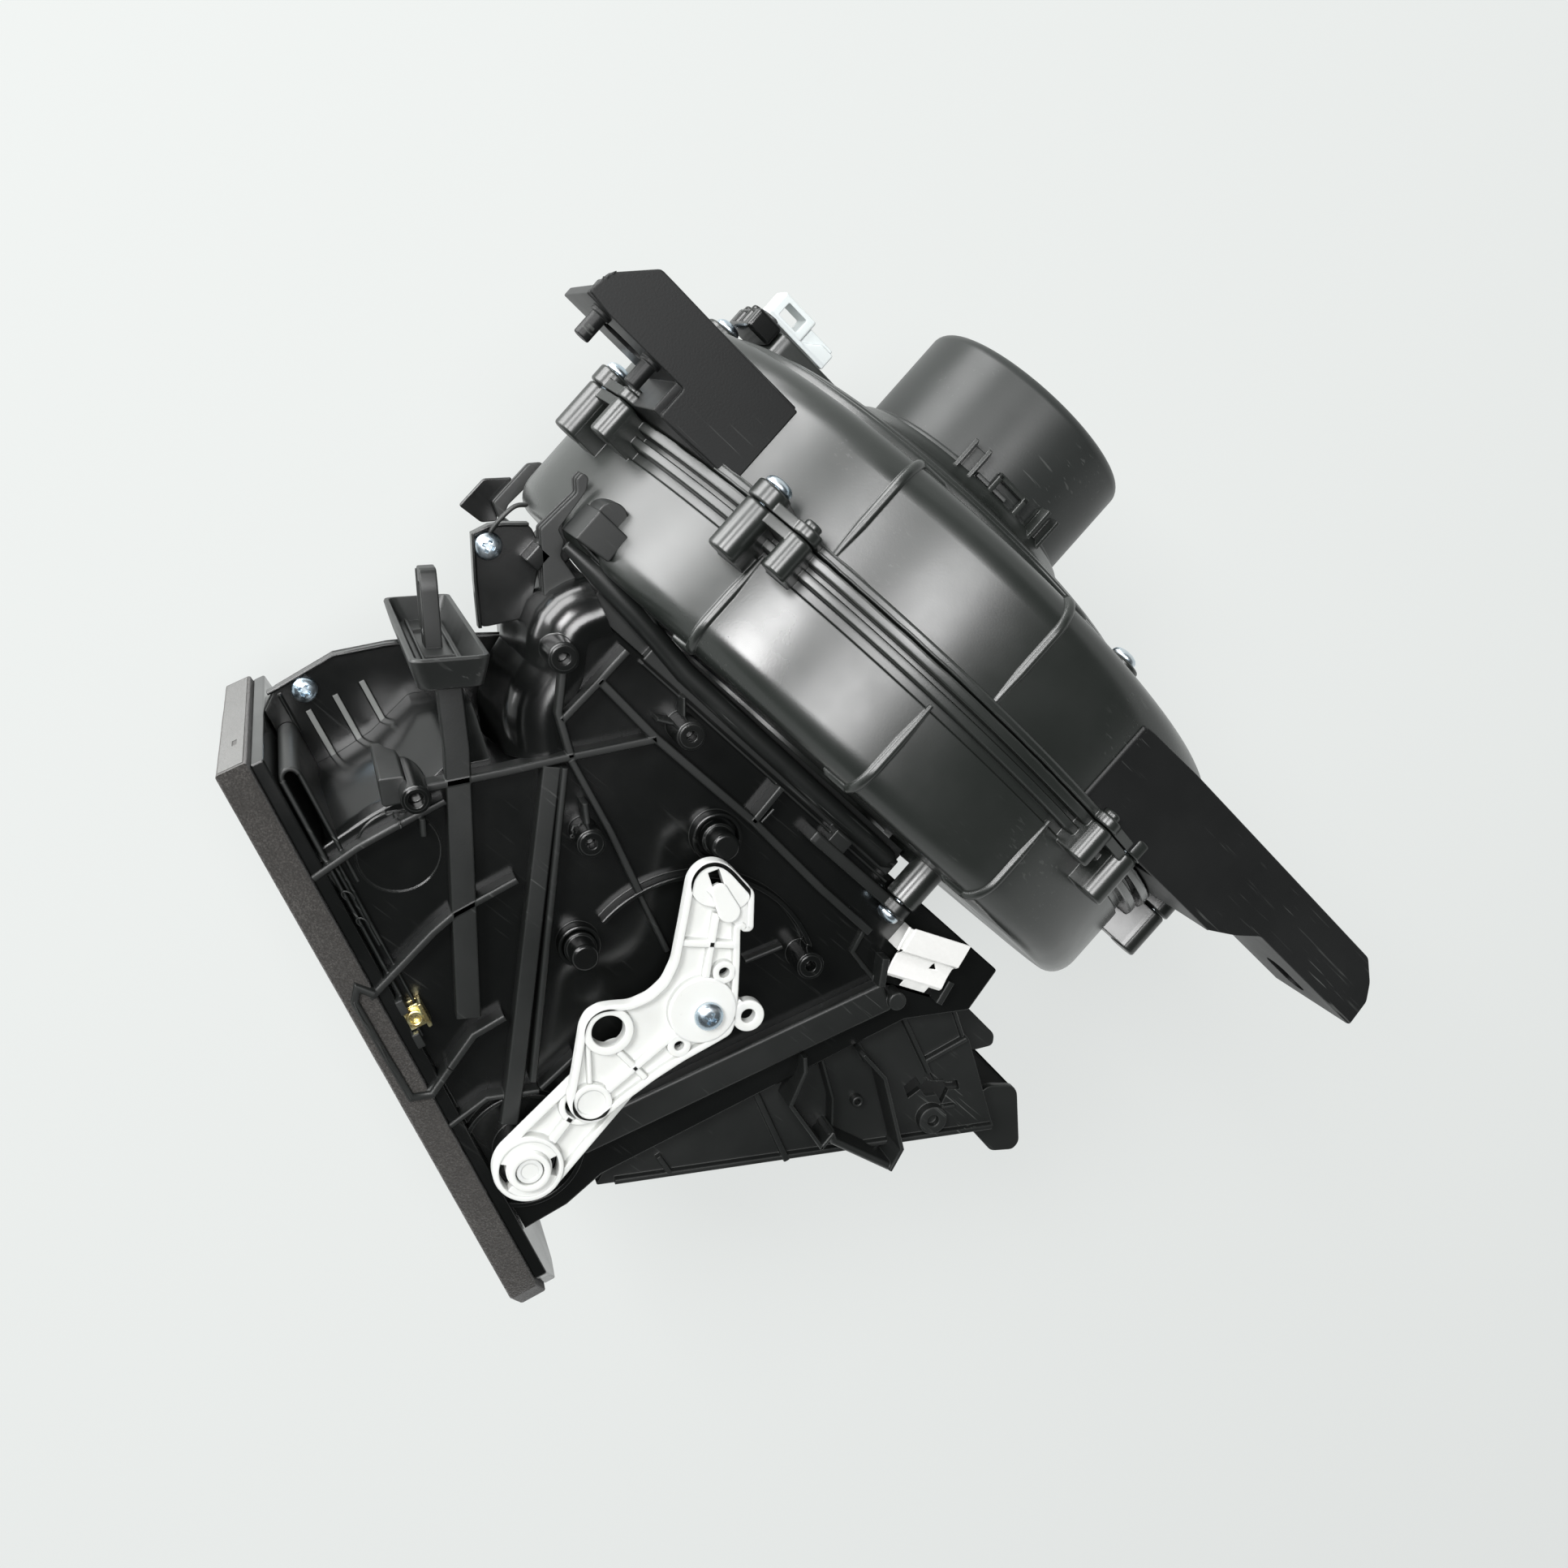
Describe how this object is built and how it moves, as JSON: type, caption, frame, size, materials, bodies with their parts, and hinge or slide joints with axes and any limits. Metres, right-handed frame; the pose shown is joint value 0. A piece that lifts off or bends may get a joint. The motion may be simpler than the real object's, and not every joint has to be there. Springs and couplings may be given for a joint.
{
  "type": "heater blower unit",
  "caption": "Air intake and blower unit: scroll housing with motor and squirrel-cage wheel, intake case with foam seal, recirculation door on a lever linkage, and a side duct.",
  "frame": {"origin": "middle of the bounding box's lowest face, which is the plane of the outlet's rim", "axes": "+Y along the motor shaft from the intake case towards the motor cover, +Z towards the lever side, away from the outlet, and +X towards the outlet side's mounting ear"},
  "size_m": [0.314, 0.33, 0.2568],
  "materials": {
    "housing_plastic": "moulded, semi-gloss, lightly scratched",
    "cover_plastic": "moulded, satin",
    "case_plastic": "moulded, satin black",
    "lever_nylon": "natural nylon, slightly translucent",
    "foam": "open-cell polyurethane foam, matt",
    "door_seal_foam": "closed-cell foam, matt",
    "zinc_screw": "blue zinc plated steel",
    "spring_steel": "bright spring steel",
    "yellow_zinc": "yellow zinc plated steel",
    "steel": "plain drawn steel",
    "copper": "bare copper windings and bars",
    "bronze": "sintered bronze",
    "ferrite": "dull grey ferrite",
    "carbon": "dull black carbon",
    "wheel_plastic": "moulded, satin dark grey",
    "clip_nylon": "clear natural nylon"
  },
  "bodies": {
    "housing": {"scroll_motor_half": "housing_plastic", "left_ear": "housing_plastic", "right_ear": "housing_plastic", "scroll_inlet_half": "housing_plastic", "motor_mount_disc": "housing_plastic", "motor_cover": "cover_plastic", "motor_can": "steel", "motor_end_plate": "steel", "magnet_upper": "ferrite", "magnet_lower": "ferrite", "bearing_front": "bronze", "bearing_rear": "bronze", "brush_plate": "case_plastic", "brush_left": "carbon", "brush_right": "carbon", "motor_connector": "case_plastic", "cable_clip": "clip_nylon", "intake_case_front": "case_plastic", "intake_case_rear": "case_plastic", "seal_flange": "case_plastic", "foam_seal": "foam", "louvred_panel": "case_plastic", "harness_tray": "case_plastic", "harness_bracket": "case_plastic", "recirculation_duct": "case_plastic", "scroll_screw_1": "zinc_screw", "scroll_screw_2": "zinc_screw", "scroll_screw_3": "zinc_screw", "scroll_screw_4": "zinc_screw", "disc_screw_1": "zinc_screw", "disc_screw_2": "zinc_screw", "disc_screw_3": "zinc_screw", "drive_lever_screw": "zinc_screw", "bracket_screw": "zinc_screw", "strap_screw": "zinc_screw", "panel_screw": "zinc_screw", "speed_nut": "yellow_zinc", "duct_spring_clip": "spring_steel"},
    "rotor": {"motor_shaft": "steel", "armature": "copper", "commutator": "copper", "wheel_retainer": "spring_steel", "blower_wheel": "wheel_plastic", "wheel_hub": "wheel_plastic"},
    "door": {"crank_lever": "lever_nylon", "door_shaft": "lever_nylon", "recirculation_door": "case_plastic", "door_seal": "door_seal_foam"},
    "drive": {"drive_lever": "lever_nylon"}
  },
  "joints": [
    {"name": "rotor_spin", "type": "hinge", "parent": "housing", "child": "rotor", "pos_m": [-0.013, 0.068, 0.13], "axis": [0, 1, 0], "continuous": true},
    {"name": "door_swing", "type": "hinge", "parent": "housing", "child": "door", "pos_m": [-0.001, -0.119, 0.13], "axis": [0, 0, 1], "range_deg": [-31.2, 20.8]},
    {"name": "drive_lever_swing", "type": "hinge", "parent": "housing", "child": "drive", "pos_m": [0.007, -0.049, 0.2053], "axis": [0, 0, 1], "range_deg": [-16.5, 24.5]}
  ],
  "couplings": [
    {"joint": "drive_lever_swing", "follows": "door_swing", "ratio": -0.7692}
  ]
}
